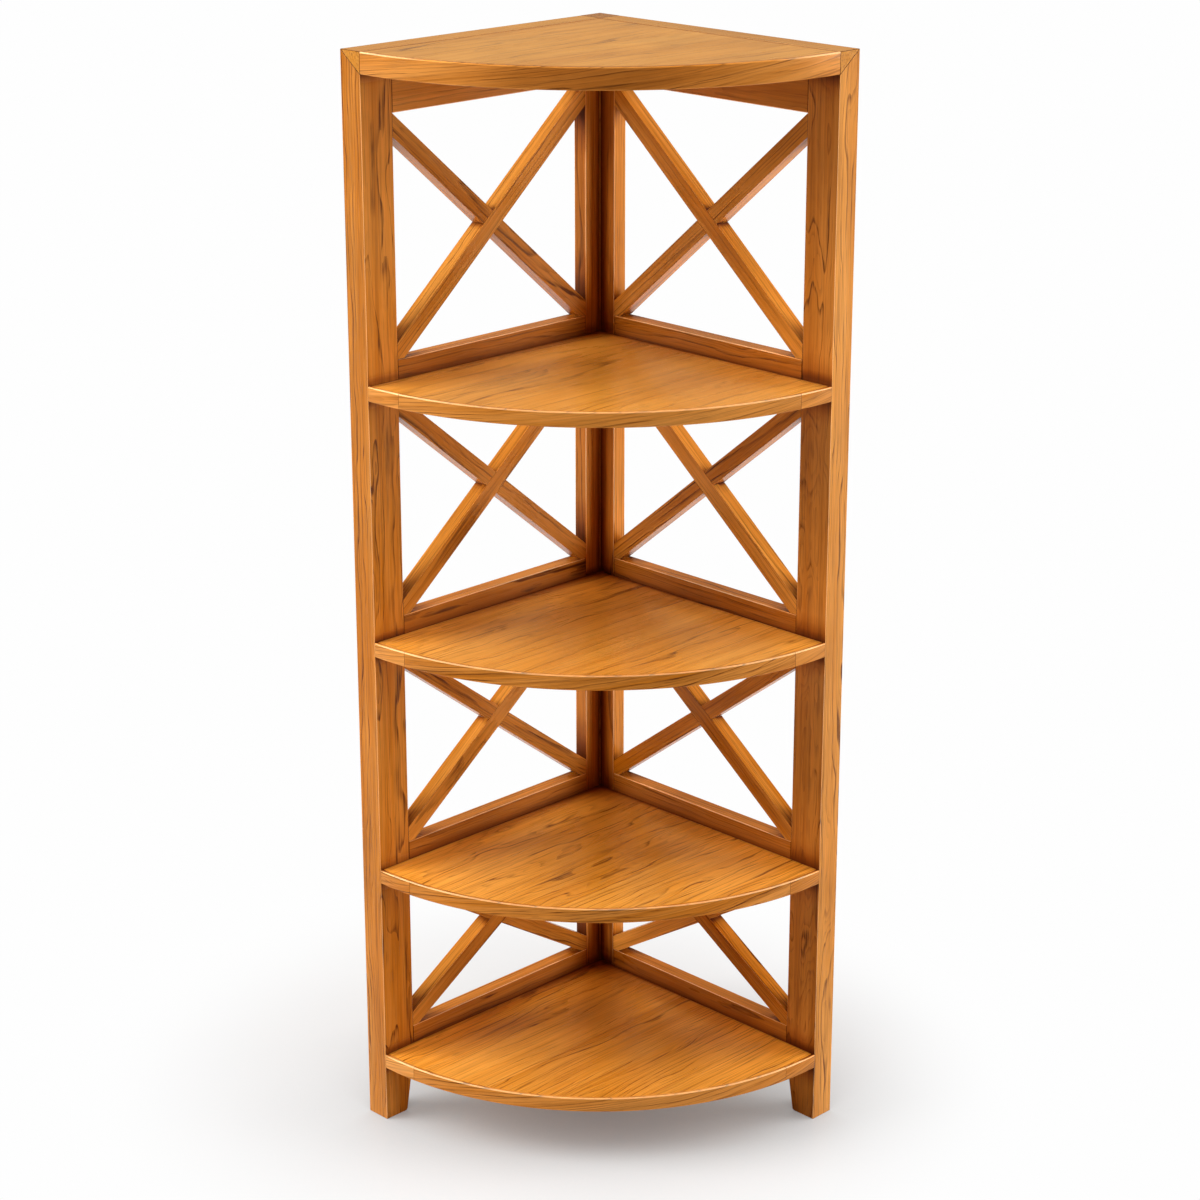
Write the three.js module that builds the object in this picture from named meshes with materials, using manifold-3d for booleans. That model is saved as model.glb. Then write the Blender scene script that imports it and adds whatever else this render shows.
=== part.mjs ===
// Quarter-round corner shelf unit in solid teak. Millimetres, +Z up.
//
// Two lattice side frames stand at a right angle, one against each wall of a
// room's corner. They share a square corner post, and between them they carry
// four quarter-round shelves and a thicker top. The walls lie at the low end of
// X and the high end of Y, and the open, rounded side looks towards +X and -Y.
// The origin is on the floor, at the centre of the unit's square outline.

import * as THREE from 'three';
import { mergeVertices } from 'three/addons/utils/BufferGeometryUtils.js';
import Module from 'manifold-3d';

const wasm = await Module();
wasm.setup();

// Plan: how far each side frame reaches along its wall.
const wallWidth = 400;

// Heights, from the floor up. The unit's full height is their sum.
const legHeight = 70;
const bottomBayHeight = 227;
const lowerBayHeight = 269;
const upperBayHeight = 288;
const topBayHeight = 349;
const shelfThickness = 18;
const topThickness = 25;

// Timber of the side frames. Thickness is square to the wall, width is along it.
const postThickness = 32;
const postWidth = 45;
const footWidth = 33;
const footCornerRadius = 4;
const lathThickness = 19;
const stileWidth = 24;
const braceWidth = 20;

// Where the upper edge of a brace meets the upright at its low end, above the rail.
const braceFootRise = 18;

// Rails: how far a shelf's rail stands above the shelf, and the deep rail under the top.
const railRise = 23;
const topRailHeight = 47;

// Curved edges of the shelves and of the top.
const shelfLippingThickness = 4;
const topLippingThickness = 5;
const lippingEndLength = 48;
const lippingEdgeRadius = 1.5;

// Glue line left at every joint, and how far a cutter runs past what it cuts.
const jointGap = 0.3;
const overrun = 10;

// Faceting of the curves: steps in a quarter turn.
const shelfArcSteps = 48;
const edgeArcSteps = 4;

// Sizes that follow from the driving ones.
const bayHeights = [topBayHeight, upperBayHeight, lowerBayHeight, bottomBayHeight];
const shelvesAndBays = bayHeights.reduce((sum, height) => sum + height + shelfThickness, 0);
const totalHeight = legHeight + shelvesAndBays + topThickness;
const topUnderside = totalHeight - topThickness;
const halfWidth = wallWidth / 2;
const shelfRadius = wallWidth - postThickness;
const stileEdge = postThickness + stileWidth;
const postEdge = wallWidth - postWidth;
const lathBack = postThickness - lathThickness;

// Shelves are numbered from the top down, and this lists the height of each one's upper face.
const shelfTops = bayHeights.map((_, i) => {
  const above = bayHeights.slice(0, i + 1).reduce((sum, height) => sum + height, 0);
  return topUnderside - above - i * shelfThickness;
});

// Teak under a satin varnish: the tone differs a little from board to board.
const tones = {
  post: '#c27c39',
  rail: '#b16a2c',
  brace: '#b87033',
  panel: '#cd8a45',
  lipping: '#c98341',
};

function teak(tone) {
  return new THREE.MeshStandardMaterial({ color: tones[tone], roughness: 0.42, metalness: 0 });
}

function piece(name, geometry, tone) {
  const mesh = new THREE.Mesh(geometry, teak(tone));
  mesh.name = name;
  return mesh;
}

// Solids for cutting and joining.

function toSolid(geometry) {
  const plain = geometry.clone();
  plain.deleteAttribute('normal');
  plain.deleteAttribute('uv');
  const merged = mergeVertices(plain);
  const vertProperties = Float32Array.from(merged.attributes.position.array);
  const triVerts = Uint32Array.from(merged.index.array);
  return new wasm.Manifold(new wasm.Mesh({ numProp: 3, vertProperties, triVerts }));
}

function toGeometry(solid) {
  const { vertProperties, triVerts } = solid.getMesh();
  const geometry = new THREE.BufferGeometry();
  geometry.setAttribute('position', new THREE.BufferAttribute(vertProperties, 3));
  geometry.setIndex(new THREE.BufferAttribute(triVerts, 1));
  const faceted = geometry.toNonIndexed();
  faceted.computeVertexNormals();
  return faceted;
}

function cut(blank, cutter) {
  return toGeometry(toSolid(blank).subtract(toSolid(cutter)));
}

function common(blank, limit) {
  return toGeometry(toSolid(blank).intersect(toSolid(limit)));
}

// Side frames. Each is drawn in its own wall's terms, the same for both sides:
// "along" runs from the room's corner to the front post, "out" runs from the wall
// into the room, and "up" is the height. Its group then turns it to its wall.

const sides = {
  left: { name: 'left', turn: -Math.PI / 2, outSign: 1 },
  right: { name: 'right', turn: 0, outSign: -1 },
};

function shapeOf(points) {
  return new THREE.Shape(points.map(([x, y]) => new THREE.Vector2(x, y)));
}

// A board whose outline lies flat against the wall, from one distance out to another.
function wallBoard(side, shape, outFrom, outTo) {
  const depth = outTo - outFrom;
  const geometry = new THREE.ExtrudeGeometry(shape, {
    depth,
    bevelEnabled: false,
    curveSegments: edgeArcSteps / 2,
  });
  geometry.rotateX(Math.PI / 2);
  geometry.translate(0, side.outSign > 0 ? outTo : -outFrom, 0);
  return geometry;
}

// A bar whose section is drawn square to the wall, run along the wall.
function wallBar(side, section, alongFrom, alongTo) {
  const shape = shapeOf(section.map(([out, up]) => [side.outSign * out, up]));
  const geometry = new THREE.ExtrudeGeometry(shape, {
    depth: alongTo - alongFrom,
    bevelEnabled: false,
  });
  const toWall = new THREE.Matrix4().makeBasis(
    new THREE.Vector3(0, 1, 0),
    new THREE.Vector3(0, 0, 1),
    new THREE.Vector3(1, 0, 0),
  );
  geometry.applyMatrix4(toWall);
  geometry.translate(alongFrom, 0, 0);
  return geometry;
}

function rectangle(left, bottom, right, top) {
  return shapeOf([[left, bottom], [right, bottom], [right, top], [left, top]]);
}

// Front posts: straight on the wall side and in front, drawn in towards the floor
// on the bay side below the lowest shelf, with a rounded inner toe.
function frontPostOutline() {
  const toe = wallWidth - footWidth;
  const slope = Math.atan2(postWidth - footWidth, legHeight);
  const shape = new THREE.Shape();
  shape.moveTo(wallWidth, 0);
  shape.lineTo(wallWidth, totalHeight);
  shape.lineTo(postEdge, totalHeight);
  shape.lineTo(postEdge, legHeight);
  const tangent = footCornerRadius * Math.tan(Math.PI / 4 - slope / 2);
  const centreAlong = toe + tangent;
  shape.absarc(centreAlong, footCornerRadius, footCornerRadius, Math.PI + slope, Math.PI * 1.5, false);
  return shape;
}

// The front post and the end of the top's border meet in a mitre that falls from
// the outer top edge to the underside of the top at the inner face. This is the
// region above it, lowered by the given drop to open the glue line.
function aboveMitre(side, drop) {
  const fall = topThickness / postThickness;
  const section = [
    [-overrun, totalHeight + overrun * fall - drop],
    [postThickness + overrun, topUnderside - overrun * fall - drop],
    [postThickness + overrun, totalHeight + overrun + overrun],
    [-overrun, totalHeight + overrun + overrun],
  ];
  return wallBar(side, section, postEdge - jointGap, wallWidth + overrun);
}

function frontPost(side) {
  const blank = wallBoard(side, frontPostOutline(), 0, postThickness);
  return piece(`post_front_${side.name}`, cut(blank, aboveMitre(side, jointGap)), 'post');
}

// The border strip lies along the wall edge of the top, from the corner post to the
// front, and its front end is cut to the mitre over the post's width.
function topBorder(side) {
  const start = postThickness + jointGap;
  const bodyEnd = postEdge - jointGap;
  const body = wallBoard(side, rectangle(start, topUnderside, bodyEnd, totalHeight), 0, postThickness);
  const tail = wallBoard(
    side,
    rectangle(bodyEnd - overrun, topUnderside, wallWidth, totalHeight),
    0,
    postThickness,
  );
  const mitred = toSolid(tail).intersect(toSolid(aboveMitre(side, 0)));
  return piece(`top_border_${side.name}`, toGeometry(toSolid(body).add(mitred)), 'panel');
}

function stile(side) {
  const shape = rectangle(postThickness + jointGap, legHeight, stileEdge, topUnderside - jointGap);
  return piece(`stile_${side.name}`, wallBoard(side, shape, lathBack, postThickness), 'rail');
}

function rail(side, name, bottom, top) {
  const shape = rectangle(stileEdge + jointGap, bottom, postEdge - jointGap, top);
  return piece(name, wallBoard(side, shape, lathBack, postThickness), 'rail');
}

function topRail(side) {
  const top = topUnderside - jointGap;
  return rail(side, `rail_top_${side.name}`, topUnderside - topRailHeight, top);
}

function shelfRails(side) {
  return shelfTops.map((top, i) =>
    rail(side, `rail_${side.name}_${i + 1}`, top - shelfThickness, top + railRise),
  );
}

// Braces: two laths cross in each bay, between the stile and the front post.

function bayOpening(bay) {
  const ceiling = bay === 0 ? topUnderside - topRailHeight : shelfTops[bay - 1] - shelfThickness;
  return { back: stileEdge, front: postEdge, floor: shelfTops[bay] + railRise, ceiling };
}

// The lath's outline, run past both ends and widened by the given margin. Its upper
// edge leaves the bay's top corner and meets the far upright a little above the rail.
function lathOutline(opening, rising, margin) {
  const highAlong = rising ? opening.back : opening.front;
  const lowAlong = rising ? opening.front : opening.back;
  const high = new THREE.Vector2(highAlong, opening.ceiling);
  const low = new THREE.Vector2(lowAlong, opening.floor + braceFootRise);
  const direction = high.clone().sub(low).normalize();
  const down = new THREE.Vector2(direction.y, -direction.x);
  if (down.y > 0) down.negate();
  const past = direction.clone().multiplyScalar(braceWidth + overrun);
  const start = low.clone().sub(past).addScaledVector(down, -margin);
  const end = high.clone().add(past).addScaledVector(down, -margin);
  const width = braceWidth + margin + margin;
  const corners = [start, end, end.clone().addScaledVector(down, width), start.clone().addScaledVector(down, width)];
  return new THREE.Shape(corners);
}

// Each lath is cut to the corners of its bay and halved where it crosses the other:
// the rising lath stays whole on the room side, the falling lath on the wall side.
function brace(side, bay, rising) {
  const opening = bayOpening(bay);
  const limits = rectangle(
    opening.back + jointGap,
    opening.floor + jointGap,
    opening.front - jointGap,
    opening.ceiling - jointGap,
  );
  const lath = wallBoard(side, lathOutline(opening, rising, 0), lathBack, postThickness);
  const fitted = common(lath, wallBoard(side, limits, lathBack - overrun, postThickness + overrun));
  const lapPlane = postThickness - lathThickness / 2;
  const lapFrom = rising ? lathBack - overrun : lapPlane - jointGap / 2;
  const lapTo = rising ? lapPlane + jointGap / 2 : postThickness + overrun;
  const lap = wallBoard(side, lathOutline(opening, !rising, jointGap), lapFrom, lapTo);
  const slant = rising ? 'rising' : 'falling';
  return piece(`brace_${side.name}_${bay + 1}_${slant}`, cut(fitted, lap), 'brace');
}

function sideFrame(side) {
  const frame = new THREE.Group();
  frame.position.set(-halfWidth, halfWidth, 0);
  frame.rotation.z = side.turn;
  frame.add(frontPost(side), topBorder(side), stile(side), topRail(side), ...shelfRails(side));
  bayHeights.forEach((_, bay) => frame.add(brace(side, bay, true), brace(side, bay, false)));
  return frame;
}

// The square post in the corner of the room. Its end grain shows in the top.
function cornerPost() {
  const geometry = new THREE.BoxGeometry(postThickness, postThickness, totalHeight);
  const mesh = piece('post_corner', geometry, 'post');
  const offset = halfWidth - postThickness / 2;
  mesh.position.set(-offset, offset, totalHeight / 2);
  return mesh;
}

// Shelves. Each is a quarter round about the inner corner of the two side frames,
// which is the origin of its group: the board, and a lipping bent round its edge.

// A sector between two angles, with its point at the given distance from both walls.
function sectorShape(radius, from, to, inset) {
  const shape = new THREE.Shape();
  shape.moveTo(inset, -inset);
  shape.lineTo(radius * Math.cos(from), radius * Math.sin(from));
  shape.absarc(0, 0, radius, from, to, false);
  return shape;
}

function quarterBoard(radius, thickness) {
  const trim = Math.asin(jointGap / radius);
  const shape = sectorShape(radius, -Math.PI / 2 + trim, -trim, jointGap);
  return new THREE.ExtrudeGeometry(shape, {
    depth: thickness,
    bevelEnabled: false,
    curveSegments: shelfArcSteps / 2,
  });
}

// Section of a lipping as [radius, height] points, with both front edges rounded.
function lippingSection(thickness, height) {
  const inner = shelfRadius - thickness;
  const rounding = Math.min(lippingEdgeRadius, thickness / 2, height / 2);
  const path = new THREE.Path();
  path.moveTo(inner, 0);
  path.lineTo(shelfRadius - rounding, 0);
  path.absarc(shelfRadius - rounding, rounding, rounding, -Math.PI / 2, 0, false);
  path.absarc(shelfRadius - rounding, height - rounding, rounding, 0, Math.PI / 2, false);
  path.lineTo(inner, height);
  path.closePath();
  return path.getPoints(edgeArcSteps / 2);
}

// A stretch of lipping between two angles, cut from a full ring.
function lipping(thickness, height, from, to) {
  const ring = new THREE.LatheGeometry(lippingSection(thickness, height), shelfArcSteps * 4);
  ring.rotateX(Math.PI / 2);
  const wedge = new THREE.ExtrudeGeometry(sectorShape(shelfRadius + overrun, from, to, 0), {
    depth: height + overrun + overrun,
    bevelEnabled: false,
    curveSegments: shelfArcSteps / 2,
  });
  wedge.translate(0, 0, -overrun);
  return common(ring, wedge);
}

function shelf(number, top) {
  const group = new THREE.Group();
  group.position.set(-halfWidth + postThickness, halfWidth - postThickness, top - shelfThickness);
  const boardRadius = shelfRadius - shelfLippingThickness - jointGap;
  const quarter = -Math.PI / 2;
  const trim = jointGap / shelfRadius;
  const end = lippingEndLength / shelfRadius;
  const stretch = (from, to) => lipping(shelfLippingThickness, shelfThickness, from, to);
  group.add(
    piece(`shelf_${number}_panel`, quarterBoard(boardRadius, shelfThickness), 'panel'),
    piece(`shelf_${number}_lipping`, stretch(quarter + end + trim, -end - trim), 'lipping'),
    piece(`shelf_${number}_lipping_end_left`, stretch(quarter + trim, quarter + end), 'lipping'),
    piece(`shelf_${number}_lipping_end_right`, stretch(-end, -trim), 'lipping'),
  );
  return group;
}

// The top: a thicker quarter round between the two border strips, with one lipping.
function top() {
  const group = new THREE.Group();
  group.position.set(-halfWidth + postThickness, halfWidth - postThickness, topUnderside);
  const boardRadius = shelfRadius - topLippingThickness - jointGap;
  const trim = jointGap / shelfRadius;
  const edge = lipping(topLippingThickness, topThickness, -Math.PI / 2 + trim, -trim);
  group.add(
    piece('top_panel', quarterBoard(boardRadius, topThickness), 'panel'),
    piece('top_lipping', edge, 'lipping'),
  );
  return group;
}

const unit = new THREE.Group();
unit.add(sideFrame(sides.left), sideFrame(sides.right), cornerPost(), top());
shelfTops.forEach((height, i) => unit.add(shelf(i + 1, height)));

export default unit;
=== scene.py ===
# %% [markdown]
# # A quarter-round corner shelf in solid teak
#
# This lesson dresses a small piece of furniture for a photograph: two lattice side
# frames that meet at a right angle, a rounded top and four rounded shelves. The joiner's
# drawing comes in first, as one mesh for each board. Each step then takes a family of
# boards, eases its edges as sandpaper would, gives every board its own run of grain, and
# varnishes it. Everything is in metres, with the floor at zero.

# %% The joiner's drawing
import math
import random

import bmesh
import bpy
from mathutils import Matrix, Vector
from mathutils.bvhtree import BVHTree


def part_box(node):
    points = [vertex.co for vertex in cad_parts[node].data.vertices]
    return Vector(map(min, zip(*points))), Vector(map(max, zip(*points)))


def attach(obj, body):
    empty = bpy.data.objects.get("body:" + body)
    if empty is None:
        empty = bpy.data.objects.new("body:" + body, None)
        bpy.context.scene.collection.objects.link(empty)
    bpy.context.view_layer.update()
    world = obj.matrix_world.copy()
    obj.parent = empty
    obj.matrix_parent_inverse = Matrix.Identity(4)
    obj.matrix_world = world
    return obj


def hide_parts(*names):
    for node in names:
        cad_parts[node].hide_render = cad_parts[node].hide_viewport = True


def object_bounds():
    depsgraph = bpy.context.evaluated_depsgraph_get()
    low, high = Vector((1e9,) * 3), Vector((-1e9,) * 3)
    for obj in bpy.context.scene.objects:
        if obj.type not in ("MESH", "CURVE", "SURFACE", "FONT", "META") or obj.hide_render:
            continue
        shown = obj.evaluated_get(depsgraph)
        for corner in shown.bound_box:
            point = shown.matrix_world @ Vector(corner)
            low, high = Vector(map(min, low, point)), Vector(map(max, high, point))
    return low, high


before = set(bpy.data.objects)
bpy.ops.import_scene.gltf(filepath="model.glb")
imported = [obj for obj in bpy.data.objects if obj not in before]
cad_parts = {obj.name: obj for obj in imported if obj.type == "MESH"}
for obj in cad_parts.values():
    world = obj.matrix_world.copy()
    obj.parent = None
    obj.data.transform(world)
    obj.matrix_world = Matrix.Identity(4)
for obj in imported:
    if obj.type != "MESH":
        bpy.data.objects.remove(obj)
cad_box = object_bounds()
print(f"{len(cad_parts)} boards, {cad_box[1].z:.3f} m high")

# %% [markdown]
# ## The camera
#
# The photograph looks straight into the rounded side, from a little above the top, with
# a long lens, which keeps the posts almost upright. The camera could simply be turned
# down until the picture fits. A small shift of the lens lets it look down less steeply,
# so the posts lean together less.

# %% Camera
picture_lens, picture_sensor = 86.83, 36.0  # mm
picture_shift = -0.03  # of the sensor's width
view_reach = 200  # m
camera_place = Vector((2.2363, -2.2363, 1.7699))
camera_pitch = math.radians(18.551)
camera_turn = math.radians(45)

camera_data = bpy.data.cameras.new("picture_camera")
camera_data.sensor_width = picture_sensor
camera_data.lens = picture_lens
camera_data.shift_y = picture_shift
camera_data.clip_end = view_reach
camera = bpy.data.objects.new("picture_camera", camera_data)
camera.location = camera_place
camera.rotation_euler = (math.pi / 2 - camera_pitch, 0, camera_turn)
bpy.context.scene.collection.objects.link(camera)
bpy.context.scene.camera = camera
print(f"camera {camera_place.length:.2f} m from the middle of the floor")

# %% [markdown]
# ## Colours and nodes
#
# Colours are written as they look on a screen, in hexadecimal, and one function turns
# them into the linear values that a shader needs. A second small function adds a node
# to a tree, sets what is given as plain values and links what is given as a socket. Its
# inputs are given by name or, as a list, in their order, and a node given as an input
# stands for its first output. Three more functions give a tree its named inputs and
# outputs, start a material and put an object in the scene.

# %% Helpers for colours and nodes
def tint(hex_code):
    """A screen colour such as #C87D32 as the linear colour of a shader."""
    parts = [int(hex_code[i : i + 2], 16) / 255 for i in (1, 3, 5)]
    linear = [c / 12.92 if c <= 0.04045 else ((c + 0.055) / 1.055) ** 2.4 for c in parts]
    return (*linear, 1)


def add(tree, kind, inputs=(), **settings):
    """Adds a node, sets its settings, and fills or links its inputs."""
    node = tree.nodes.new(kind)
    for name, value in settings.items():
        setattr(node, name, value)
    by_identifier = {socket.identifier: socket for socket in node.inputs}
    pairs = inputs.items() if isinstance(inputs, dict) else enumerate(inputs)
    for key, value in pairs:
        socket = by_identifier.get(key) or node.inputs[key]
        if isinstance(value, bpy.types.Node):
            value = next(output for output in value.outputs if output.enabled)
        if isinstance(value, bpy.types.NodeSocket):
            tree.links.new(value, socket)
        else:
            socket.default_value = value
    return node


def name_sockets(tree, inputs, outputs):
    """Gives a tree its inputs, with their kinds and usual values, and its outputs."""
    for name, (kind, value) in inputs.items():
        made = tree.interface.new_socket(
            name=name, in_out="INPUT", socket_type=f"NodeSocket{kind}"
        )
        if value is not None:
            made.default_value = value
    for name, kind in outputs.items():
        tree.interface.new_socket(
            name=name, in_out="OUTPUT", socket_type=f"NodeSocket{kind}"
        )


def blank_material(name):
    """A new material, and its node tree with nothing in it."""
    material = bpy.data.materials.new(name)
    material.use_nodes = True
    material.node_tree.nodes.clear()
    return material, material.node_tree


def put_in_scene(thing):
    """Links an object to the scene, so that it is drawn."""
    bpy.context.scene.collection.objects.link(thing)


print("mid tone of the varnished wood:", [round(c, 3) for c in tint("#C87D32")])

# %% [markdown]
# ## Daylight studio
#
# In the photograph the two ends of each curved edge are bright and its middle is dark,
# the outer faces of both posts are bright, and the inner corner is nearly black. So one
# big softbox stands to the left and one to the right, low and a little behind, with a
# third above, and the white room hardly lights at all. Area lamps give soft shadows. A
# sun lamp would be simpler, but its shadows would be too crisp. The room is white to the
# camera. The varnish mirrors it weaker and a little warm, because a mirrored pure white
# would turn the top and the narrow faces of the laths pinkish grey.

# %% Softboxes
middle = (cad_box[0] + cad_box[1]) / 2
# azimuth, elevation in degrees, distance and size in metres, power in watts
softboxes = {
    "softbox_left": (-38, 30, 8.0, 4.5, 760),
    "softbox_right": (138, 16, 8.0, 4.5, 610),
    "softbox_above": (45, 68, 8.0, 5.0, 270),
}
for name, (azimuth, elevation, distance, size, power) in softboxes.items():
    lamp = bpy.data.lights.new(name, "AREA")
    lamp.shape = "SQUARE"
    lamp.size = size
    lamp.energy = power
    holder = bpy.data.objects.new(name, lamp)
    around, above = math.radians(azimuth), math.radians(elevation)
    level = math.cos(above)
    away = Vector((math.sin(around) * level, -math.cos(around) * level, math.sin(above)))
    holder.location = middle + away * distance
    holder.rotation_euler = away.to_track_quat("Z", "Y").to_euler()
    put_in_scene(holder)
    print(f"{name} {distance} m away, {power} W")

# %% White room
room_light = 0.06  # how strongly the room lights the unit
mirrored_share = 0.38  # how bright the varnish mirrors it
mirrored_white = tint("#FFE9CF")
plain_white = tint("#FFFFFF")


def seen_white(tree, ray):
    """How white a ray finds the room: all from the camera, a share from the varnish."""
    mirrored = add(
        tree, "ShaderNodeMath", [ray["Is Glossy Ray"], mirrored_share], operation="MULTIPLY"
    )
    seen = add(
        tree, "ShaderNodeMath", [ray["Is Camera Ray"], mirrored], operation="MAXIMUM"
    )
    return add(
        tree, "ShaderNodeMath", [seen, ray["Is Transmission Ray"]], operation="MAXIMUM"
    )


world = bpy.data.worlds.new("white_room")
world.use_nodes = True
bpy.context.scene.world = world
room = world.node_tree
room.nodes.clear()
room_ray = add(room, "ShaderNodeLightPath").outputs
brightness = add(
    room, "ShaderNodeMapRange", {"Value": seen_white(room, room_ray), "To Min": room_light}
)
wall_white = add(
    room, "ShaderNodeMix",
    {"Factor_Float": room_ray["Is Glossy Ray"], "A_Color": plain_white,
     "B_Color": mirrored_white},
    data_type="RGBA",
)
air = add(room, "ShaderNodeBackground", {"Color": wall_white, "Strength": brightness})
add(room, "ShaderNodeOutputWorld", {"Surface": air})
bpy.context.scene.view_settings.view_transform = "Standard"
print("the room lights at", room_light, "and is mirrored at", mirrored_share)

# %% [markdown]
# ## Floor
#
# The floor is a smooth white board that fades into the white of the room. Near the feet
# it is an ordinary surface, so it takes the shadows and faintly mirrors the feet. The wood
# also throws warm light on it, which the photograph doesn't show. So the camera sees that
# surface mixed with an even white that only darkens where something stands close over the
# floor. Further out plain white takes over, from a point a little left of the middle.

# %% White floor
reach = 40.0
near_middle = (-0.113, 0.028, 0)  # m, where the floor stays grey
near_radius, far_radius = 0.28, 0.60  # m, where plain white sets in and is reached
even_share = 0.6  # of the even white in what the camera sees
shade_reach = 0.22  # m, how close a thing darkens the even white
deepest_shade = 0.15
floor_mesh = bpy.data.meshes.new("white_floor")
floor_mesh.from_pydata(
    [(-reach, -reach, 0), (reach, -reach, 0), (reach, reach, 0), (-reach, reach, 0)],
    [], [(0, 1, 2, 3)],
)
floor = bpy.data.objects.new("white_floor", floor_mesh)
put_in_scene(floor)

board_look, sheet = blank_material("smooth_white_board")
place = add(sheet, "ShaderNodeTexCoord")
far = add(
    sheet, "ShaderNodeVectorMath",
    [place.outputs["Object"], near_middle], operation="DISTANCE",
)
fade = add(
    sheet, "ShaderNodeMapRange",
    {"Value": far.outputs["Value"], "From Min": near_radius, "From Max": far_radius},
    interpolation_type="SMOOTHERSTEP",
)
floor_ray = add(sheet, "ShaderNodeLightPath").outputs
floor_white = seen_white(sheet, floor_ray)
smooth = add(
    sheet, "ShaderNodeBsdfPrincipled",
    {"Base Color": tint("#E0E0E0"), "Roughness": 0.28, "Specular IOR Level": 0.4},
)
# the even white glows, with a painted contact shadow where things stand close over the
# floor
open_above = add(sheet, "ShaderNodeAmbientOcclusion", {"Distance": shade_reach}, samples=16)
even_white_and_painted_shadow = add(
    sheet, "ShaderNodeMapRange",
    {"Value": open_above.outputs["AO"], "To Min": deepest_shade},
)
even = add(sheet, "ShaderNodeEmission", {"Color": plain_white, "Strength": even_white_and_painted_shadow})
evened = add(
    sheet, "ShaderNodeMath", [floor_ray["Is Camera Ray"], even_share], operation="MULTIPLY"
)
near = add(sheet, "ShaderNodeMixShader", [evened, smooth, even])
white = add(sheet, "ShaderNodeEmission", {"Color": tint("#FEFEFE"), "Strength": 1.0})
whiteness = add(sheet, "ShaderNodeMath", [fade, floor_white], operation="MULTIPLY")
surface = add(sheet, "ShaderNodeMixShader", [whiteness, near, white])
add(sheet, "ShaderNodeOutputMaterial", {"Surface": surface})
floor_mesh.materials.append(board_look)
print(f"floor {2 * reach:.0f} m wide, plain white beyond {far_radius} m")

# %% [markdown]
# ## The grain of a board
#
# A board is cut from a trunk, so its figure is a slice through nested rings. If every
# point of a board knows how far it lies along the trunk and how far from the heart,
# then one solid pattern gives long streaks on the faces, pointed arches where the cut
# grazes a ring, and arcs on the ends. Each board stores these trunk places on its mesh,
# with its own random place in the trunk, and a second set of numbers for its tone, its
# end grain, and its painted light and shade and dark joints. One flat picture of wood on
# every face would be easier, but it would repeat and would not turn the corners.
#
# The third number of that second set holds painted light and shade, and dark joints: 1 on
# an eased edge, for a painted highlight, above 0 on faces with painted light, and below 0
# at a seam, a real dark joint, and where shade is painted: in a nook, in a shelf's corner
# and on faces turned from the light. How shut in a nook is comes from short looks outward
# for other boards. A shader could look for them in each picture, but stored numbers are the
# same from every side and cost nothing to draw.

# %% Where a board was cut
# where round the trunk boards are cut, in radians, and their lightest and darkest tone
cuts = {
    "post_corner": (-0.9, 0.9, 0.4, 0.5), "post": (-0.9, 0.9, 0.3, 0.7),
    "stile": (-0.9, 0.9, 0.1, 0.3), "rail_top": (-0.9, 0.9, 0.0, 0.2),
    "rail": (-0.9, 0.9, 0.3, 0.55), "brace": (-1.2, 1.2, 0.1, 0.6),
    "border": (-0.6, 0.6, 0.1, 0.4), "top_panel": (0.5, 1.1, 0.0, 0.1),
    "1_panel": (0.5, 1.1, 0.0, 0.2), "2_panel": (0.5, 1.1, 0.05, 0.25),
    "panel": (0.5, 1.1, 0.15, 0.5), "top_lipping": (-0.9, 0.9, 0.1, 0.3),
    "lipping": (-0.9, 0.9, 0.1, 0.6),
}
trunk_length = 40  # m, of timber to cut from
heart_distances = (0.04, 0.10)  # m


def trunk_place(name):
    """A board's place, along the trunk and twice from its heart, and the board's tone."""
    chance = random.Random(name)
    least, most, lightest, darkest = next(
        cut for family, cut in cuts.items() if family in name
    )
    angle = chance.uniform(least, most)
    heart = chance.uniform(*heart_distances)
    along = chance.uniform(0, trunk_length)
    place = (along, heart * math.sin(angle), heart * math.cos(angle))
    return place, chance.uniform(lightest, darkest)


print("the corner post was cut at", trunk_place("post_corner")[0])


# %% How grain runs
end_slant = 0.6  # a face this square to the grain, or more, shows end grain


class StraightGrain:
    """Grain that runs one way through a board."""

    def __init__(self, origin, along, through):
        self.origin = origin
        self.along = along.normalized()
        self.through = (through - self.along * through.dot(self.along)).normalized()
        self.across = self.through.cross(self.along)

    def place(self, point):
        offset = point - self.origin
        return offset.dot(self.along), offset.dot(self.across), offset.dot(self.through)

    def is_end(self, centre, normal):
        return abs(normal.dot(self.along)) > end_slant


class BentGrain:
    """Grain that follows a strip bent round an upright axis, and climbs a little on it."""

    def __init__(self, centre, radius, climb):
        self.centre = centre
        self.radius = radius
        self.climb = climb

    def place(self, point):
        x, y, z = point - self.centre
        run = math.atan2(y, x) * self.radius
        return run, z - run * self.climb, math.hypot(x, y) - self.radius

    def is_end(self, centre, normal):
        x, y, _ = centre - self.centre
        return abs(normal.dot(Vector((-y, x, 0)).normalized())) > end_slant


print("grain runs straight in boards and round the curve in lippings")


# %% Nooks, where shade is painted
nook_reaches = (0.006, 0.014, 0.030)  # m
short_reaches = (0.003, 0.006, 0.014)  # on laths, rails, shelves and the right stile
bright_mark, shade_boost = 0.5, 2.0  # painted shade is doubled on eased edges and on faces with much painted light


def other_boards(name):
    """A search tree of all the drawn boards but this one."""
    corners, faces = [], []
    for other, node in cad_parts.items():
        if other != name:
            first = len(corners)
            corners.extend(vertex.co.copy() for vertex in node.data.vertices)
            faces.extend([first + i for i in face.vertices] for face in node.data.polygons)
    return BVHTree.FromPolygons(corners, faces)


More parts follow.
